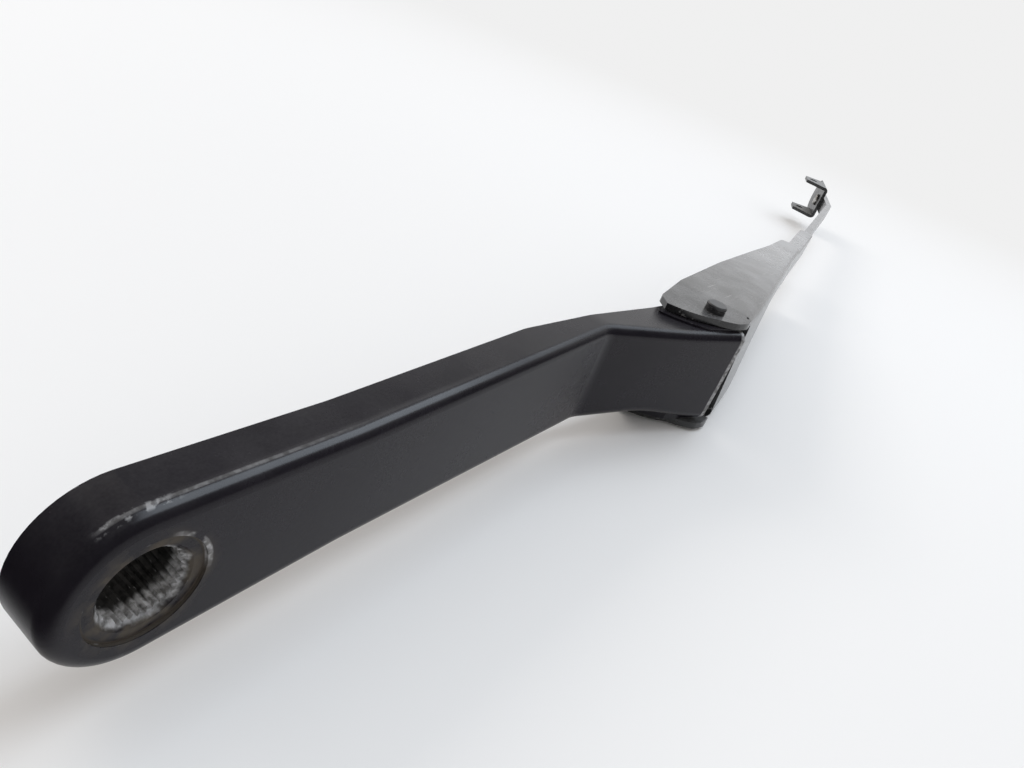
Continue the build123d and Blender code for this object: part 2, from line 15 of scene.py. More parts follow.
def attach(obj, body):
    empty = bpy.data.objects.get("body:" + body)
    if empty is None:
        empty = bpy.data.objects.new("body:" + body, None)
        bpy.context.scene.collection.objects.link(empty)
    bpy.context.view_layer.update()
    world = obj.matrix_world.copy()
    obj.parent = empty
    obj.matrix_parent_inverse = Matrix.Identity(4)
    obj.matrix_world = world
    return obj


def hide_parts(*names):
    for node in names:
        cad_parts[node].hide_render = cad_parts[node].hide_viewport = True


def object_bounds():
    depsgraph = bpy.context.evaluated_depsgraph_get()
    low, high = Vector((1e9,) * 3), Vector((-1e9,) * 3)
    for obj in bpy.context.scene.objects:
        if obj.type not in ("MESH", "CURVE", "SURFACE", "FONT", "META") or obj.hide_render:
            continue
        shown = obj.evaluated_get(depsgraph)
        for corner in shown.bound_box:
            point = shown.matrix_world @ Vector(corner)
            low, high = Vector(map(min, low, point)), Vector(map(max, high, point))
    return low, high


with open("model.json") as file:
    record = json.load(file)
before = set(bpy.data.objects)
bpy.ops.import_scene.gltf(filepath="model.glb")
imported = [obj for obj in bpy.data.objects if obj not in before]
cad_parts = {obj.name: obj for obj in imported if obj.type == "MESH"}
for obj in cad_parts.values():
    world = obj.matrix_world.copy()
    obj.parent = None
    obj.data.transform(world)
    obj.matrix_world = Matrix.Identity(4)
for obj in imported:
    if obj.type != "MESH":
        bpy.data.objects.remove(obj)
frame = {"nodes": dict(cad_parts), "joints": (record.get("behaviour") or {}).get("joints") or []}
cad_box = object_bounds()

MM = 0.001
UP = np.array([0.0, 0.0, 1.0])

# Camera: place, the directions of its right, up and back, and its lens
CAMERA_PLACE = (-0.044456, -0.069812, 0.083601)
CAMERA_RIGHT = (0.56233526, -0.76018556, 0.32541814)
CAMERA_UP = (0.24089306, 0.52706589, 0.81496754)
CAMERA_BACK = (-0.79104336, -0.37989401, 0.47951115)
CAMERA_LENS = 26.72
CAMERA_SENSOR = 36.0
CAMERA_NEAREST = 0.005

# Arm: its hinge, and its directions along and across the retainer
HINGE = np.array(frame["joints"][0]["pos_m"])
ARM_ANGLE = np.radians(8.4)
ALONG = np.array([np.cos(ARM_ANGLE), np.sin(ARM_ANGLE), 0.0])
INWARD = np.array([-np.sin(ARM_ANGLE), np.cos(ARM_ANGLE), 0.0])
HINGE_ALONG = float(HINGE @ ALONG)

# Head: its outer face, and its end measured along the run from the crease to the hinge
FACE = -11.35 * MM
HEAD_BEND = np.radians(22.6)
HINGE_RUN = (np.cos(HEAD_BEND), -np.sin(HEAD_BEND), 0.0)
HEAD_END_FROM_PIN = 7.55 * MM
HEAD_END = float(HINGE @ HINGE_RUN) + HEAD_END_FROM_PIN

# Lean of the retainer's web, measured from the hinge pin across and along the retainer
RETAINER_LEAN = 6.0 * MM
RETAINER_LEAN_AT_TOP = 0.4
RETAINER_LEAN_AT_HINGE = 0.75
RETAINER_LEAN_FULL = 35.0 * MM
RETAINER_LEAN_START = -2.0 * MM
RETAINER_LEAN_BLEND = 4.5 * MM
RETAINER_LEAN_END = 150.0 * MM
RETAINER_CUT_STEPS = (5.0 * MM, 1.5 * MM, 5.0 * MM)
RETAINER_MERGE = 0.001 * MM
RETAINER_SHARP = np.radians(30.0)

# Tension spring: eyes measured from the hinge pin along and across the retainer
SPRING_NEAR_EYE = (20.0 * MM, 5.8 * MM)
SPRING_FAR_EYE = (117.0 * MM, 0.2 * MM)
SPRING_WIRE_RADIUS = 0.9 * MM
SPRING_COIL_RADIUS = 4.1 * MM
SPRING_COIL_START = 7.8 * MM
SPRING_TURNS = 34.25
SPRING_HOOK_RADIUS = 3.4 * MM
SPRING_HOOK_ARC = np.radians(200.0)
SPRING_ELBOW_RADIUS = 1.3 * MM
SPRING_ELBOW_ARC = np.radians(85.0)
SPRING_HOOK_STEPS = 40
SPRING_LEG_STEPS = 16
SPRING_ELBOW_STEPS = 10
SPRING_STEPS_PER_TURN = 22
SPRING_SIDES = 12

# Marks are placed by pairs: a span is where a mark starts to show and where it is full,
# and a band is the middle of a mark and half its width, of which the core is full
MARK_CORE = 0.3

# Worn edges: how far in they reach, and the spans of the normal's turn and of the specks in them
EDGE_REACH = 0.3 * MM
EDGE_TURN = (0.995, 0.90)
EDGE_BREAK = (0.85, 1.05)

# Paint and dust: spread of the paint's shade, and strength of fine mottling beside soft
SHADE_SPREAD = 0.9
FINE_MOTTLE = 0.5

# Dust, fading and painted sheen: span of the upward part of a face's normal on which they lie
LYING_FACES = (0.35, 0.95)

# Scratches: how the noise is drawn out along and across the arm
SCRATCH_SCALE = (60.0, 1100.0, 1100.0)

# Head's edges: specks of wear on all, more at the hinge end, in spans past that end
EDGE_SPECKS = 0.26
END_RUB = (-1.4 * MM, -0.9 * MM)
END_MORE_SPECKS = 0.50
END_MORE_REACH = 0.4 * MM
END_LINE = (-1.7 * MM, -1.0 * MM)
END_LINE_WEIGHT = 0.7

# Socket and nut seat, by distance from the spindle's axis and by depth under the outer face
SOCKET_INSIDE = (7.8 * MM, 7.2 * MM)
SOCKET_WALL_DEPTH = (0.9 * MM, 1.3 * MM)
# Mouth: bare metal kept to the lower side, partly a painted highlight where the light falls
MOUTH_DEPTH = (3.4 * MM, 1.2 * MM)
MOUTH_DEPTH_RAGGED = 3.0 * MM
MOUTH_EDGE = (6.8 * MM, 6.0 * MM)
MOUTH_RAGGED = 2.2 * MM
LOWER_SIDE = (0.6, 0.0, -0.8)
LOWER_SIDE_SPAN = (-0.80, -0.25)
GRIME_EDGE = (11.0 * MM, 7.0 * MM)
GRIME_DEPTH = (2.4 * MM, 1.4 * MM)
# Seat's groove: grime colour laid there to lift the groove's shade, dirt and painted light both
SEAT_WALL_BAND = (8.6 * MM, 0.5 * MM)
SEAT_WALL_DEPTH = (0.05 * MM, 0.2 * MM)
SEAT_WALL_LIFT = 0.8
SEAT_RIM_BAND = (9.0 * MM, 0.6 * MM)
SEAT_RIM_RIGHT = (2.0 * MM, 6.0 * MM)
SEAT_RIM_UPPER = (-1.5 * MM, 2.0 * MM)

# Head's upper edge: bands by depth under the outer face, spans up and along the head
TOP_SPAN = (9.0 * MM, 10.5 * MM)
CHIP_BAND = (2.3 * MM, 0.9 * MM)
CHIP_START = (-7.0 * MM, -4.5 * MM)
CHIP_END = (6.0 * MM, 1.0 * MM)
CHIP_WEIGHT = 0.5
RUB_BAND = (2.5 * MM, 0.45 * MM)
RUB_END = (46.0 * MM, 10.0 * MM)
RUB_WEIGHT = 0.28
SCUFF_PLACE = (112.0 * MM, -5.0 * MM, 13.4 * MM)
SCUFF_REACH = 9.0 * MM
SCUFF_WEIGHT = 0.5
POLISH_BAND = (1.9 * MM, 1.9 * MM)
POLISH_START = (-9.0 * MM, 4.0 * MM)
POLISH_END = (84.0 * MM, 44.0 * MM)
POLISH_WEIGHT = 0.6

# Film on the arm, faded paint with a painted sheen: spans past the hinge, along X, and of the normal's Y
# on the web
WEB_FILM_AND_SHEEN_PAST_HINGE = (5.0 * MM, 8.0 * MM)
FILM_AND_SHEEN_GROWS = (170.0 * MM, 320.0 * MM)
FACING_OUT = (-0.91, -0.97)

# Gloss and relief: metallic and added roughness of marks, and their cut against the paint's ripples
WORN_METALLIC = 0.4
BARE_ROUGHER = 0.35
SOCKET_ROUGHER = 0.75
ARM_FILM_ROUGHER = 0.12
SMALL_FILM_ROUGHER = 0.2
TARNISH_ROUGHER = 0.2
BARE_CUT = 2.0
SCRATCH_CUT = 0.8

# Finishes
HEAD_BLACK = (0.0105, 0.0088, 0.0122)
BARE_DULL = (0.20, 0.195, 0.19, 1.0)
BARE_BRIGHT = (0.56, 0.555, 0.56, 1.0)
# Painted shade: the socket's wall darkened from pale to dark, standing for the shade deep in the hole
SOCKET_SHADE_DARK = (0.004, 0.0038, 0.0035, 1.0)
SOCKET_SHADE_PALE = (0.020, 0.019, 0.018, 1.0)
GRIME_BROWN = (0.078, 0.065, 0.051, 1.0)
# Dust on the head, also painting its top faces lighter where light falls on them
DUST_AND_SHEEN_GREY = (0.22, 0.215, 0.21, 1.0)
ARM_BLACK = (0.014, 0.0137, 0.0142)
# Grey of the arm's film: faded paint, and a painted sheen of the light grazing it
ARM_FILM_AND_SHEEN = (0.50, 0.495, 0.50, 1.0)
ARM_SCRATCH = (0.36, 0.355, 0.35, 1.0)
ARM_EDGE = (0.33, 0.32, 0.31, 1.0)
SMALL_BLACK = (0.014, 0.0138, 0.0145)
# Faded grey on the small pieces' tops, also painting the light on them
SMALL_FILM_AND_SHEEN = (0.30, 0.295, 0.29, 1.0)
PIN_EDGE = (0.20, 0.20, 0.20, 1.0)
SADDLE_EDGE = (0.16, 0.16, 0.16, 1.0)
STEEL_BRIGHT = (0.52, 0.51, 0.49, 1.0)
STEEL_DULL = (0.24, 0.22, 0.20, 1.0)
BRONZE_BRIGHT = (0.46, 0.30, 0.13, 1.0)
BRONZE_DULL = (0.20, 0.13, 0.07, 1.0)

# Studio: floor, what polished faces see of it and of the room, and the room's soft light
FLOOR_REACH = 4.0
FLOOR_COLOUR = (0.92, 0.90, 0.885, 1.0)
FLOOR_FADE = (0.30, 1.1)
# Painted dark reflection: where polished faces see the floor black, past the spindle
DARK_REFLECTION_FADE = (-0.006, -0.036)
WHITE = (0.87, 0.87, 0.87, 1.0)
BLACK = (0.0, 0.0, 0.0, 1.0)
CEILING_RISE = (0.42, 0.75)
CEILING_DIMMING = 0.7
OPEN_FRONT = (-0.30, -0.55)
OPEN_END = (-0.05, -0.40)
OPEN_SIDE_DIMMING = 0.94
SOFT_LIGHT_DIMMING = 0.33


def ease(share):
    """A share from 0 to 1 that starts and ends gently: 3 s^2 - 2 s^3."""
    s = np.clip(share, 0.0, 1.0)
    return s * s * (3.0 - 2.0 * s)


def unit(vectors):
    """Vectors divided by their lengths."""
    return vectors / np.linalg.norm(vectors, axis=-1, keepdims=True)


def put_in_scene(name, data):
    """A new object in the scene for a mesh, a lamp or a camera."""
    thing = bpy.data.objects.new(name, data)
    bpy.context.scene.collection.objects.link(thing)
    return thing


def spring_end():
    """One end of the spring's wire, from its cut tip to the first turn, as rows of four arrays.

    The rows are the distance u along the line of pull, the distance d from that line, the swing
    round it, and the lean of the section from outwards (0) to sideways (a right angle).
    Hook: u = R - R sin a and d = R cos a, for a from the hook's arc down to 0.
    Leg: u runs on to the elbow while d eases out from the hook's to the coil's radius.
    Elbow: u = u0 + E sin q, and the swing is E (1 - cos q) over the coil's radius.
    """
    sideways = np.pi / 2
    a = np.linspace(SPRING_HOOK_ARC, 0.0, SPRING_HOOK_STEPS)
    hook = np.stack([
        SPRING_HOOK_RADIUS * (1.0 - np.sin(a)),
        SPRING_HOOK_RADIUS * np.cos(a),
        np.zeros_like(a),
        np.full_like(a, sideways),
    ])
    s = ease(np.linspace(0.0, 1.0, SPRING_LEG_STEPS))[1:]
    leg_end = SPRING_COIL_START - SPRING_ELBOW_RADIUS
    leg = np.stack([
        SPRING_HOOK_RADIUS + s * (leg_end - SPRING_HOOK_RADIUS),
        SPRING_HOOK_RADIUS + s * (SPRING_COIL_RADIUS - SPRING_HOOK_RADIUS),
        np.zeros_like(s),
        sideways * (1.0 - s),
    ])
    q = np.linspace(0.0, SPRING_ELBOW_ARC, SPRING_ELBOW_STEPS)[1:]
    elbow = np.stack([
        leg_end + SPRING_ELBOW_RADIUS * np.sin(q),
        np.full_like(q, SPRING_COIL_RADIUS),
        SPRING_ELBOW_RADIUS * (1.0 - np.cos(q)) / SPRING_COIL_RADIUS,
        np.zeros_like(q),
    ])
    return np.concatenate([hook, leg, elbow], axis=1)


def spring_centre_line(near_eye, far_eye):
    """Points on the middle of the spring's wire, and the way its section leans at each.

    Both ends are the same bent wire, the far one run backwards from the other eye, and between
    them the coil is a helix: u and the swing grow evenly at a fixed distance from the line of
    pull. A point is the near eye + u pull + d (cos swing up + sin swing across).
    """
    pull = unit(far_eye - near_eye)
    across = np.cross(pull, UP)
    span = np.linalg.norm(far_eye - near_eye)
    full_swing = 2.0 * np.pi * SPRING_TURNS
    near = spring_end()
    far = spring_end()[:, ::-1]
    far[0] = span - far[0]
    far[2] = full_swing - far[2]
    steps = int(SPRING_TURNS * SPRING_STEPS_PER_TURN)
    coil = np.stack([
        np.linspace(near[0, -1], far[0, 0], steps),
        np.full(steps, SPRING_COIL_RADIUS),
        np.linspace(near[2, -1], far[2, 0], steps),
        np.zeros(steps),
    ])[:, 1:-1]
    u, d, swing, lean = (row[:, None] for row in np.concatenate([near, coil, far], axis=1))
    outwards = np.cos(swing) * UP + np.sin(swing) * across
    sideways = np.cos(swing) * across - np.sin(swing) * UP
    points = near_eye + u * pull + d * outwards
    return points, np.cos(lean) * outwards + np.sin(lean) * sideways


def round_wire(name, points, leans, radius, sides):
    """A closed round wire: a circle carried along the points, with a flat cut at each end.

    A ring's point is the middle + radius (cos b side + sin b top), where side is the lean made
    square to the wire's run and top is the run crossed with side.
    """
    run = unit(np.gradient(points, axis=0))
    side = unit(leans - np.sum(leans * run, axis=1, keepdims=True) * run)
    top = np.cross(run, side)
    b = np.linspace(0.0, 2.0 * np.pi, sides, endpoint=False)[None, :, None]
    rings = points[:, None] + radius * (np.cos(b) * side[:, None] + np.sin(b) * top[:, None])
    ring, step = np.meshgrid(np.arange(len(points) - 1), np.arange(sides), indexing="ij")
    here = ring * sides + step
    beside = ring * sides + (step + 1) % sides
    walls = np.stack([here, beside, beside + sides, here + sides], axis=-1).reshape(-1, 4)
    last = (len(points) - 1) * sides
    cuts = [list(range(sides))[::-1], list(range(last, last + sides))]
    mesh = bpy.data.meshes.new(name)
    mesh.from_pydata(rings.reshape(-1, 3).tolist(), [], walls.tolist() + cuts)
    mesh.polygons.foreach_set("use_smooth", [True] * len(walls) + [False] * len(cuts))
    mesh.update()
    return put_in_scene(name, mesh)


def feed(tree, socket, value):
    """Links an output to a socket, or sets the socket's own value."""
    if isinstance(value, bpy.types.NodeSocket):
        tree.links.new(value, socket)
    else:
        socket.default_value = value


def add(tree, kind, inputs=None, **settings):
    """A new shader node with its own settings, and its inputs fed by name or by number."""
    node = tree.nodes.new(kind)
    for name, value in settings.items():
        setattr(node, name, value)
    for name, value in (inputs or {}).items():
        feed(tree, node.inputs[name], value)
    return node


def calc(tree, operation, *values):
    """One step of arithmetic on values or outputs."""
    return add(tree, "ShaderNodeMath", dict(enumerate(values)), operation=operation).outputs[0]


def measure(tree, operation, *vectors):
    """A number worked out from vectors, such as their dot product or their distance."""
    inputs = dict(enumerate(vectors))
    return add(tree, "ShaderNodeVectorMath", inputs, operation=operation).outputs["Value"]


def parts(tree, vector):
    """The parts X, Y and Z of a vector."""
    return add(tree, "ShaderNodeSeparateXYZ", {0: vector}).outputs


def times(tree, *masks):
    """Masks multiplied together."""
    product = masks[0]
    for mask in masks[1:]:
        product = calc(tree, "MULTIPLY", product, mask)
    return product


def most(tree, *masks):
    """The strongest of several masks."""
    strongest = masks[0]
    for mask in masks[1:]:
        strongest = calc(tree, "MAXIMUM", strongest, mask)
    return strongest


def between(tree, value, low, high):
    """0 where the value is at low, 1 where it is at high, eased in between; low may be above high."""
    inputs = {"Value": value, "From Min": low, "From Max": high}
    return add(tree, "ShaderNodeMapRange", inputs, interpolation_type="SMOOTHSTEP").outputs[0]


def near_point(tree, place, centre, reach):
    """1 near a point of the part, fading to 0 at reach metres from it."""
    away = measure(tree, "DISTANCE", place, centre)
    return between(tree, away, reach, MARK_CORE * reach)


def band(tree, value, middle, half):
    """1 where the value is near middle, fading to 0 at half a band's width to either side."""
    away = calc(tree, "ABSOLUTE", calc(tree, "SUBTRACT", value, middle))
    return between(tree, away, half, MARK_CORE * half)


def coloured(tree, mask, under, over):
    """The colour over laid on the colour under where the mask is 1; sockets 6 and 7 take colours."""
    inputs = {"Factor": mask, 6: under, 7: over}
    return add(tree, "ShaderNodeMix", inputs, data_type="RGBA").outputs[2]


def shaded(tree, colour, shade):
    """A colour made lighter or darker by a value near 1."""
    inputs = {0: colour, "Scale": shade}
    return add(tree, "ShaderNodeVectorMath", inputs, operation="SCALE").outputs[0]


def object_place(tree):
    """The point on the piece, in metres in the part's frame."""
    return add(tree, "ShaderNodeTexCoord").outputs["Object"]


def object_normal(tree):
    """The parts X, Y and Z of the piece's own normal, which turns with the piece."""
    return parts(tree, add(tree, "ShaderNodeTexCoord").outputs["Normal"])


def speckle(tree, scale, detail, place=None):
    """Soft random values about 0.5, in cells 1 / scale metres across, on Object coordinates."""
    inputs = {"Vector": place or object_place(tree), "Scale": scale, "Detail": detail}
    return add(tree, "ShaderNodeTexNoise", inputs).outputs[0]


def patches(tree, scale, detail, low, high, place=None):
    """Random patches: 0 where the speckle is under low and 1 where it is over high."""
    return between(tree, speckle(tree, scale, detail, place), low, high)


def mottle(tree, scale, detail):
    """Soft random values about 0."""
    return calc(tree, "SUBTRACT", speckle(tree, scale, detail), 0.5)


def start_group(name, inputs, outputs):
    """An empty node group with named float inputs (name: first value) and float outputs."""
    group = bpy.data.node_groups.new(name, "ShaderNodeTree")
    for label, value in inputs.items():
        socket = group.interface.new_socket(name=label, in_out="INPUT", socket_type="NodeSocketFloat")
        socket.default_value = value
    for label in outputs:
        group.interface.new_socket(name=label, in_out="OUTPUT", socket_type="NodeSocketFloat")
    given = group.nodes.new("NodeGroupInput").outputs
    result = group.nodes.new("NodeGroupOutput").inputs
    return group, given, result


def make_paint_skin():
    """Sprayed paint: soft patches in its shade and gloss, and fine ripples as a height."""
    group, given, result = start_group(
        "paint_skin",
        {"Roughness": 0.4, "Spread": 0.1, "Ripples": 900.0},
        ("Roughness", "Shade", "Height"),
    )
    clouds = mottle(group, scale=60.0, detail=4.0)
    smears = mottle(group, scale=700.0, detail=3.0)
    uneven = calc(group, "MULTIPLY_ADD", smears, FINE_MOTTLE, clouds)
    roughness = calc(group, "MULTIPLY_ADD", uneven, given["Spread"], given["Roughness"])
    feed(group, result["Roughness"], roughness)
    feed(group, result["Shade"], calc(group, "MULTIPLY_ADD", uneven, SHADE_SPREAD, 1.0))
    feed(group, result["Height"], speckle(group, given["Ripples"], detail=2.0))
    return group


def make_edge_wear():
    """Worn edges: where the normal rounded over Reach turns from the true one, broken up by specks."""
    group, given, result = start_group(
        "edge_wear", {"Reach": 0.6 * MM, "Specks": 500.0, "Amount": 0.5}, ("Mask",)
    )
    rounded = add(group, "ShaderNodeBevel", {"Radius": given["Reach"]}, samples=6).outputs[0]
    true = add(group, "ShaderNodeNewGeometry").outputs["Normal"]
    turned = between(group, measure(group, "DOT_PRODUCT", rounded, true), *EDGE_TURN)
    specks = calc(group, "ADD", speckle(group, given["Specks"], detail=4.0), given["Amount"])
    feed(group, result["Mask"], times(group, turned, between(group, specks, *EDGE_BREAK)))
    return group


def make_dust_and_sheen():
    """Dust and fading, with the sheen of light on them painted in: a film on faces that look up, thicker
    in soft patches and with fine grains.

    Sides is a mask of other faces that hold the film too.
    """
    group, given, result = start_group(
        "dust_and_sheen", {"Amount": 0.5, "Patches": 0.3, "Sides": 0.0}, ("Mask",)
    )
    lying = most(group, between(group, object_normal(group)["Z"], *LYING_FACES), given["Sides"])
    clouds = mottle(group, scale=110.0, detail=5.0)
    grains = mottle(group, scale=2200.0, detail=2.0)
    uneven = calc(group, "MULTIPLY_ADD", grains, FINE_MOTTLE, clouds)
    # Film of dust and fading, which also paints light onto the faces it lies on
    film_and_sheen = calc(group, "MULTIPLY_ADD", uneven, given["Patches"], given["Amount"])
    feed(group, result["Mask"], times(group, most(group, film_and_sheen, 0.0), lying))
    return group


def make_fine_scratches():
    """Fine scratches: noise drawn out along the arm, kept only in thin bands and in rubbed patches."""
    group, given, result = start_group("fine_scratches", {"Amount": 0.5, "Turn": 0.0}, ("Mask",))
    turn = add(group, "ShaderNodeCombineXYZ", {"Z": given["Turn"]}).outputs[0]
    inputs = {"Vector": object_place(group), "Rotation": turn, "Scale": SCRATCH_SCALE}
    drawn = add(group, "ShaderNodeMapping", inputs).outputs[0]
    lines = patches(group, scale=1.0, detail=2.0, low=0.62, high=0.70, place=drawn)
    rubbed = patches(group, scale=45.0, detail=3.0, low=0.45, high=0.65)
    feed(group, result["Mask"], times(group, lines, rubbed, given["Amount"]))
    return group


def use(tree, group, **inputs):
    """The outputs of a shared effect placed in a material, with its own values."""
    return add(tree, "ShaderNodeGroup", inputs, node_tree=group).outputs


def start_material(name, **values):
    """A material with its Principled shader, whose plain values are set directly."""
    material = bpy.data.materials.new(name)
    material.use_nodes = True
    tree = material.node_tree
    shader = tree.nodes["Principled BSDF"]
    for label, value in values.items():
        shader.inputs[label.replace("_", " ")].default_value = value
    return material, tree, shader


def raise_surface(tree, shader, height, depth):
    """Gives the shader's normal a relief of that depth in metres."""
    inputs = {"Height": height, "Distance": depth, "Strength": 1.0}
    feed(tree, shader.inputs["Normal"], add(tree, "ShaderNodeBump", inputs).outputs[0])


def wear_head_edges(tree, place):
    """Mask of bare metal: specks on all of the head's edges, and its hinge end rubbed nearly bare."""
    past_end = calc(tree, "SUBTRACT", measure(tree, "DOT_PRODUCT", place, HINGE_RUN), HEAD_END)
    end_rub = between(tree, past_end, *END_RUB)
    specks = calc(tree, "MULTIPLY_ADD", end_rub, END_MORE_SPECKS, EDGE_SPECKS)
    reach = calc(tree, "MULTIPLY_ADD", end_rub, END_MORE_REACH, EDGE_REACH)
    edges = use(tree, EDGE_WEAR, Reach=reach, Specks=700.0, Amount=specks)["Mask"]
    end_line = times(tree, between(tree, past_end, *END_LINE), END_LINE_WEIGHT)
    return most(tree, edges, end_line)


def wear_socket(tree, place):
    """Masks of the socket: its wall darkened as painted shade, the grime on its seat with a paler colour
    painted into the seat's groove to lift its shade, and its bare metal.

    The mouth is bare and ragged on its lower side, where its bright metal also paints the light falling
    there, and the seat has a thin bare rim at upper right.
    """
    x, y, z = parts(tree, place)
    depth = calc(tree, "SUBTRACT", y, FACE)
    from_spindle = calc(tree, "SQRT", calc(tree, "MULTIPLY_ADD", x, x, calc(tree, "MULTIPLY", z, z)))
    ragged = mottle(tree, scale=380.0, detail=4.0)
    ragged = calc(tree, "MULTIPLY_ADD", ragged, MOUTH_RAGGED, from_spindle)
    ragged_depth = speckle(tree, scale=300.0, detail=4.0)
    ragged_depth = calc(tree, "MULTIPLY_ADD", ragged_depth, -MOUTH_DEPTH_RAGGED, depth)

    inside = between(tree, from_spindle, *SOCKET_INSIDE)
    # Painted shade: the socket's wall below the mouth, darkened
    wall_shade = times(tree, inside, between(tree, depth, *SOCKET_WALL_DEPTH))
    # The mouth's bare metal only on its lower side: wear, and a painted highlight where the light falls
    downward = calc(tree, "DIVIDE", measure(tree, "DOT_PRODUCT", place, LOWER_SIDE), from_spindle)
    lower_side = between(tree, downward, *LOWER_SIDE_SPAN)
    lit_wall = times(tree, inside, between(tree, ragged_depth, *MOUTH_DEPTH))
    bare_and_lit_mouth = times(tree, lit_wall, between(tree, ragged, *MOUTH_EDGE), lower_side)

    outside = between(tree, depth, *GRIME_DEPTH)
    patchy = patches(tree, scale=240.0, detail=4.0, low=0.38, high=0.62)
    caked = times(tree, between(tree, ragged, *GRIME_EDGE), patchy)
    # In the seat's groove the grime colour is painted heavy to lighten its shade: painted light as well
    # as dirt
    seat_wall_lift = times(tree, band(tree, from_spindle, *SEAT_WALL_BAND), SEAT_WALL_LIFT)
    seat_wall_lift = times(tree, seat_wall_lift, between(tree, depth, *SEAT_WALL_DEPTH))
    grime_and_lift = times(tree, most(tree, caked, seat_wall_lift), outside)
    upper_right = times(tree, between(tree, x, *SEAT_RIM_RIGHT), between(tree, z, *SEAT_RIM_UPPER))
    seat_rim = times(tree, band(tree, from_spindle, *SEAT_RIM_BAND), upper_right, patchy, outside)
    return wall_shade, grime_and_lift, most(tree, bare_and_lit_mouth, seat_rim)


def wear_upper_edge(tree, place):
    """Masks of the head's upper edge: its bare marks, and where hands have polished it.

    Chips near the spindle run out into a thin rubbed line, and there are scuffs before the hinge.
    """
    x, y, z = parts(tree, place)
    depth = calc(tree, "SUBTRACT", y, FACE)
    on_top = between(tree, z, *TOP_SPAN)
    flecks = patches(tree, scale=900.0, detail=4.0, low=0.50, high=0.62)
    started = times(tree, between(tree, x, *CHIP_START), on_top)
    chips = times(tree, band(tree, depth, *CHIP_BAND), started, between(tree, x, *CHIP_END))
    chips = times(tree, chips, flecks, CHIP_WEIGHT)
    rubbed = times(tree, band(tree, depth, *RUB_BAND), started, between(tree, x, *RUB_END), RUB_WEIGHT)
    lines = use(tree, FINE_SCRATCHES, Amount=SCUFF_WEIGHT, Turn=0.0)["Mask"]
    scuffs = times(tree, near_point(tree, place, SCUFF_PLACE, SCUFF_REACH), lines)
    handled = times(tree, between(tree, x, *POLISH_START), between(tree, x, *POLISH_END), on_top)
    polished = times(tree, band(tree, depth, *POLISH_BAND), handled, POLISH_WEIGHT)
    return most(tree, chips, rubbed, scuffs), polished


def paint_head():
    """Black paint on the cast head, bare and grimy round the socket, with painted shade inside it and
    painted light at its mouth and in its seat's groove, chipped along its upper edge.
    """
    material, tree, shader = start_material("head_paint", Specular_IOR_Level=0.19, Coat_Roughness=0.18)
    skin = use(tree, PAINT_SKIN, Roughness=0.26, Spread=0.10, Ripples=1100.0)
    # Dust on the head's up-facing faces, laid a little heavier to paint the light on its top side
    dust_and_top_sheen = use(tree, DUST_AND_SHEEN, Amount=0.032, Patches=0.12)["Mask"]
    place = object_place(tree)
    bare_edges = wear_head_edges(tree, place)
    wall_shade, grime_and_lift, bare_and_lit_socket = wear_socket(tree, place)
    bare_top, polished = wear_upper_edge(tree, place)
    # Bare metal, and at the socket's mouth a painted highlight as well
    bare_and_lit = most(tree, bare_edges, bare_and_lit_socket, bare_top)

    tarnish = patches(tree, scale=900.0, detail=5.0, low=0.35, high=0.65)
    colour = shaded(tree, HEAD_BLACK, skin["Shade"])
    # Grime round the socket, and in the seat's groove a paler colour painted to lift its shade
    colour = coloured(tree, grime_and_lift, colour, GRIME_BROWN)
    # Painted shade: the socket's wall, dark
    colour = coloured(tree, wall_shade, colour, coloured(tree, tarnish, SOCKET_SHADE_DARK, SOCKET_SHADE_PALE))
    colour = coloured(tree, bare_and_lit, colour, coloured(tree, tarnish, BARE_DULL, BARE_BRIGHT))
    colour = coloured(tree, dust_and_top_sheen, colour, DUST_AND_SHEEN_GREY)
    feed(tree, shader.inputs["Base Color"], colour)
    feed(tree, shader.inputs["Metallic"], times(tree, bare_and_lit, WORN_METALLIC))
    rougher = times(tree, most(tree, bare_and_lit, grime_and_lift), BARE_ROUGHER)
    rougher = most(tree, rougher, times(tree, wall_shade, SOCKET_ROUGHER))
    feed(tree, shader.inputs["Roughness"], calc(tree, "ADD", rougher, skin["Roughness"]))
    feed(tree, shader.inputs["Coat Weight"], polished)
    height = calc(tree, "MULTIPLY_ADD", bare_and_lit, -BARE_CUT, skin["Height"])
    raise_surface(tree, shader, height, depth=0.012 * MM)
    return material


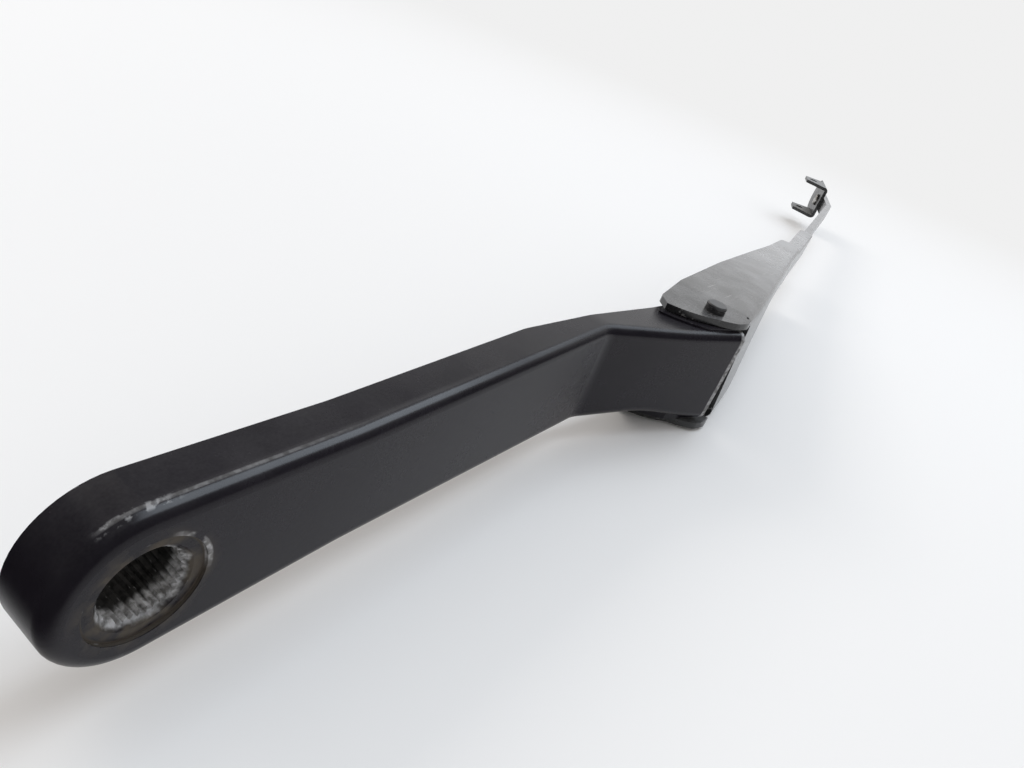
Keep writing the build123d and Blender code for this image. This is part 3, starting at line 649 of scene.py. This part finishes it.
def paint_arm(name, near_fade_and_sheen, far_fade_and_sheen):
    """Black paint on the channel or the rod, finely scratched, under a grey film of fading that also
    paints the sheen of light on it.

    The film lies on top, where it grows along the arm from the near to the far amount as a painted sheen
    of grazing light, and on the outer faces past the hinge, where it paints the floor's reflection.
    """
    material, tree, shader = start_material(name, Specular_IOR_Level=0.5)
    skin = use(tree, PAINT_SKIN, Roughness=0.20, Spread=0.12, Ripples=1300.0)
    edge = use(tree, EDGE_WEAR, Reach=EDGE_REACH, Specks=600.0, Amount=0.24)["Mask"]
    lines = use(tree, FINE_SCRATCHES, Amount=0.45, Turn=-ARM_ANGLE)["Mask"]
    place = object_place(tree)
    past_hinge = calc(tree, "SUBTRACT", measure(tree, "DOT_PRODUCT", place, ALONG), HINGE_ALONG)
    # The film grows lighter further along the arm: fading, and a painted sheen of grazing light
    far_out = between(tree, parts(tree, place)["X"], *FILM_AND_SHEEN_GROWS)
    fading_and_sheen = calc(tree, "MULTIPLY_ADD", far_out, far_fade_and_sheen - near_fade_and_sheen, near_fade_and_sheen)
    # On the outer web past the hinge the film paints the floor's bright reflection
    facing_out = between(tree, object_normal(tree)["Y"], *FACING_OUT)
    web = times(tree, facing_out, between(tree, past_hinge, *WEB_FILM_AND_SHEEN_PAST_HINGE))
    film_and_sheen = use(tree, DUST_AND_SHEEN, Amount=fading_and_sheen, Patches=0.5, Sides=web)["Mask"]

    colour = shaded(tree, ARM_BLACK, skin["Shade"])
    colour = coloured(tree, film_and_sheen, colour, ARM_FILM_AND_SHEEN)
    colour = coloured(tree, lines, colour, ARM_SCRATCH)
    colour = coloured(tree, edge, colour, ARM_EDGE)
    feed(tree, shader.inputs["Base Color"], colour)
    feed(tree, shader.inputs["Metallic"], times(tree, edge, WORN_METALLIC))
    roughness = calc(tree, "MULTIPLY_ADD", film_and_sheen, ARM_FILM_ROUGHER, skin["Roughness"])
    feed(tree, shader.inputs["Roughness"], roughness)
    height = calc(tree, "MULTIPLY_ADD", lines, -SCRATCH_CUT, skin["Height"])
    raise_surface(tree, shader, height, depth=0.010 * MM)
    return material


def paint_small_piece(name, fade_and_sheen, worn):
    """Black paint on the saddle or the pin, faded on top with the light on its top painted in too, and
    rubbed back to a paler coat at its edges.
    """
    material, tree, shader = start_material(name, Specular_IOR_Level=0.6)
    skin = use(tree, PAINT_SKIN, Roughness=0.36, Spread=0.2, Ripples=1600.0)
    edge = use(tree, EDGE_WEAR, Reach=EDGE_REACH, Specks=900.0, Amount=0.34)["Mask"]
    # Film on top: fading, and a painted sheen of the light on the top faces
    film_and_sheen = use(tree, DUST_AND_SHEEN, Amount=fade_and_sheen, Patches=0.3)["Mask"]
    colour = shaded(tree, SMALL_BLACK, skin["Shade"])
    colour = coloured(tree, film_and_sheen, colour, SMALL_FILM_AND_SHEEN)
    colour = coloured(tree, edge, colour, worn)
    feed(tree, shader.inputs["Base Color"], colour)
    roughness = calc(tree, "MULTIPLY_ADD", film_and_sheen, SMALL_FILM_ROUGHER, skin["Roughness"])
    feed(tree, shader.inputs["Roughness"], roughness)
    raise_surface(tree, shader, skin["Height"], depth=0.010 * MM)
    return material


def plate_metal(name, bright, dull, rough):
    """Plated metal with dull patches, fine scratches and a matt bloom of tarnish."""
    material, tree, shader = start_material(name, Metallic=1.0)
    skin = use(tree, PAINT_SKIN, Roughness=rough, Spread=0.3, Ripples=2200.0)
    lines = use(tree, FINE_SCRATCHES, Amount=0.6, Turn=0.0)["Mask"]
    tarnish = patches(tree, scale=300.0, detail=5.0, low=0.42, high=0.68)
    plating = coloured(tree, tarnish, bright, dull)
    feed(tree, shader.inputs["Base Color"], shaded(tree, plating, skin["Shade"]))
    roughness = calc(tree, "MULTIPLY_ADD", tarnish, TARNISH_ROUGHER, skin["Roughness"])
    feed(tree, shader.inputs["Roughness"], roughness)
    raise_surface(tree, shader, calc(tree, "SUBTRACT", skin["Height"], lines), depth=0.008 * MM)
    return material


def finish_node(name, material):
    """Gives a node of the part its finish in place of the plain one."""
    slots = frame["nodes"][name].data.materials
    slots.clear()
    slots.append(material)


def wind_spring(material):
    """The wound spring in place of the part's flat-sided one, moving with the link."""
    near_eye, far_eye = (
        HINGE + run * ALONG + rise * INWARD for run, rise in (SPRING_NEAR_EYE, SPRING_FAR_EYE)
    )
    points, leans = spring_centre_line(near_eye, far_eye)
    spring = round_wire("wound_spring", points, leans, SPRING_WIRE_RADIUS, SPRING_SIDES)
    spring.data.materials.append(material)
    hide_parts("tension_spring")
    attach(spring, "link")


def cut_in_steps(mesh, direction, step):
    """Cuts every face of a mesh by planes square to the direction, one step apart."""
    heights = [float(direction @ np.array(vert.co)) for vert in mesh.verts]
    for height in np.arange(min(heights) + step / 2.0, max(heights), step):
        whole = [*mesh.verts, *mesh.edges, *mesh.faces]
        bmesh.ops.bisect_plane(
            mesh, geom=whole, dist=RETAINER_MERGE, plane_co=height * direction, plane_no=direction
        )


def fine_channel(name):
    """A copy of the part's channel as a new mesh, with its corners merged and its faces cut small."""
    channel = bmesh.new()
    channel.from_mesh(frame["nodes"]["retainer"].data)
    bmesh.ops.remove_doubles(channel, verts=channel.verts, dist=RETAINER_MERGE)
    for direction, step in zip((ALONG, INWARD, UP), RETAINER_CUT_STEPS):
        cut_in_steps(channel, direction, step)
    bmesh.ops.triangulate(channel, faces=channel.faces)
    mesh = bpy.data.meshes.new(name)
    channel.to_mesh(mesh)
    channel.free()
    if "custom_normal" in mesh.attributes:
        mesh.attributes.remove(mesh.attributes["custom_normal"])
    return mesh


def retainer_lean(points):
    """How far each point of the retainer moves out: RETAINER_LEAN times four shares.

    They say how far the point is below the upper flange, how near to the web, how far before the
    channel's end and how far past the hinge.
    """
    run = (points - HINGE) @ ALONG
    rise = (points - HINGE) @ INWARD
    z = points[:, 2]
    below = (z.max() - z) / (z.max() - z.min())
    below = RETAINER_LEAN_AT_TOP + (1.0 - RETAINER_LEAN_AT_TOP) * below
    by_web = ease((RETAINER_LEAN_START - rise) / RETAINER_LEAN_BLEND)
    before_end = ease((RETAINER_LEAN_END - run) / RETAINER_LEAN_END)
    past_hinge = ease(run / RETAINER_LEAN_FULL)
    past_hinge = RETAINER_LEAN_AT_HINGE + (1.0 - RETAINER_LEAN_AT_HINGE) * past_hinge
    return RETAINER_LEAN * below * by_web * before_end * past_hinge


def lean_retainer(material):
    """The retainer with its web leaning out below, in place of the part's upright one."""
    mesh = fine_channel("leaning_retainer")
    points = np.empty((len(mesh.vertices), 3), dtype=np.float32)
    mesh.vertices.foreach_get("co", points.ravel())
    points -= np.outer(retainer_lean(points), INWARD).astype(np.float32)
    mesh.vertices.foreach_set("co", points.ravel())
    mesh.polygons.foreach_set("use_smooth", [True] * len(mesh.polygons))
    mesh.set_sharp_from_angle(angle=RETAINER_SHARP)
    mesh.materials.clear()
    mesh.materials.append(material)
    retainer = put_in_scene("leaning_retainer", mesh)
    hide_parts("retainer")
    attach(retainer, "arm")


def lay_floor():
    """A wide pale floor under the part's lowest point, fading to plain white far from it.

    Polished faces see it black a little way past the spindle, a painted dark reflection.
    """
    level = cad_box[0].z
    corners = FLOOR_REACH * np.array([[-1, -1], [1, -1], [1, 1], [-1, 1]])
    mesh = bpy.data.meshes.new("floor")
    mesh.from_pydata([(*corner, level) for corner in corners.tolist()], [], [(0, 1, 2, 3)])
    material, tree, shader = start_material(
        "floor_white", Base_Color=FLOOR_COLOUR, Roughness=0.6, Specular_IOR_Level=0.2
    )
    place = object_place(tree)
    far_away = between(tree, measure(tree, "LENGTH", place), *FLOOR_FADE)
    glow = add(tree, "ShaderNodeEmission", {"Color": WHITE}).outputs[0]
    floor_and_glow = add(tree, "ShaderNodeMixShader", {0: far_away, 1: shader.outputs[0], 2: glow}).outputs[0]
    # Painted dark reflection: seen in polished faces, the floor turns black past the spindle
    in_dark_reflection = between(tree, parts(tree, place)["X"], *DARK_REFLECTION_FADE)
    mirrored = times(tree, add(tree, "ShaderNodeLightPath").outputs["Is Glossy Ray"], in_dark_reflection)
    black_in_reflections = add(tree, "ShaderNodeEmission", {"Color": BLACK}).outputs[0]
    seen = add(tree, "ShaderNodeMixShader", {0: mirrored, 1: floor_and_glow, 2: black_in_reflections}).outputs[0]
    feed(tree, tree.nodes["Material Output"].inputs["Surface"], seen)
    mesh.materials.append(material)
    put_in_scene("floor", mesh)


def light_world():
    """Plain white all round; polished faces see it dimmer overhead and on the two open sides."""
    world = bpy.data.worlds.new("studio")
    bpy.context.scene.world = world
    world.use_nodes = True
    tree = world.node_tree
    x, y, z = parts(tree, add(tree, "ShaderNodeTexCoord").outputs["Generated"])
    rays = add(tree, "ShaderNodeLightPath").outputs
    overhead = times(tree, between(tree, z, *CEILING_RISE), CEILING_DIMMING)
    open_sides = most(tree, between(tree, y, *OPEN_FRONT), between(tree, x, *OPEN_END))
    open_sides = times(tree, open_sides, OPEN_SIDE_DIMMING)
    mirrored = times(tree, most(tree, overhead, open_sides), rays["Is Glossy Ray"])
    soft = times(tree, rays["Is Diffuse Ray"], SOFT_LIGHT_DIMMING)
    room = coloured(tree, most(tree, mirrored, soft), WHITE, BLACK)
    feed(tree, tree.nodes["Background"].inputs["Color"], room)


def hang_panel(name, place, aim, size, power, colour):
    """A soft rectangular light at a place, turned to shine on a point."""
    lamp = bpy.data.lights.new(name, "AREA")
    lamp.shape = "RECTANGLE"
    lamp.size, lamp.size_y = size
    lamp.energy = power
    lamp.color = colour
    holder = put_in_scene(name, lamp)
    holder.location = place
    holder.rotation_mode = "QUATERNION"
    holder.rotation_quaternion = (Vector(aim) - Vector(place)).to_track_quat("-Z", "Y")


def set_camera():
    """The camera close to the spindle end, looking along the arm."""
    camera = put_in_scene("camera", bpy.data.cameras.new("camera"))
    camera.data.lens = CAMERA_LENS
    camera.data.sensor_width = CAMERA_SENSOR
    camera.data.clip_start = CAMERA_NEAREST
    turned = Matrix((CAMERA_RIGHT, CAMERA_UP, CAMERA_BACK)).transposed()
    camera.matrix_world = Matrix.LocRotScale(CAMERA_PLACE, turned, None)
    bpy.context.scene.camera = camera


PAINT_SKIN = make_paint_skin()
EDGE_WEAR = make_edge_wear()
DUST_AND_SHEEN = make_dust_and_sheen()
FINE_SCRATCHES = make_fine_scratches()

steel = plate_metal("steel", STEEL_BRIGHT, STEEL_DULL, rough=0.36)
finish_node("mounting_head", paint_head())
finish_node("arm_rod", paint_arm("rod_paint", near_fade_and_sheen=0.31, far_fade_and_sheen=0.57))
finish_node("hinge_pin", paint_small_piece("pin_paint", fade_and_sheen=0.10, worn=PIN_EDGE))
finish_node("blade_saddle", paint_small_piece("saddle_paint", fade_and_sheen=0.70, worn=SADDLE_EDGE))
finish_node("hinge_bushes", plate_metal("bush", BRONZE_BRIGHT, BRONZE_DULL, rough=0.40))
for plated in ("anchor_pin", "saddle_rivet", "spring_link"):
    finish_node(plated, steel)
wind_spring(steel)
lean_retainer(paint_arm("retainer_paint", near_fade_and_sheen=0.15, far_fade_and_sheen=0.74))

lay_floor()
light_world()
hang_panel(
    "top_panel",
    place=(2.3, -0.30, 2.5),
    aim=(2.3, -0.30, 0.0),
    size=(3.4, 2.2),
    power=61.0,
    colour=(0.79, 0.89, 1.0),
)
hang_panel(
    "side_panel",
    place=(0.2, 2.2, 1.5),
    aim=(0.1, 0.0, 0.0),
    size=(1.6, 1.0),
    power=17.5,
    colour=(1.0, 0.95, 0.89),
)
set_camera()
bpy.context.scene.view_settings.view_transform = "Standard"
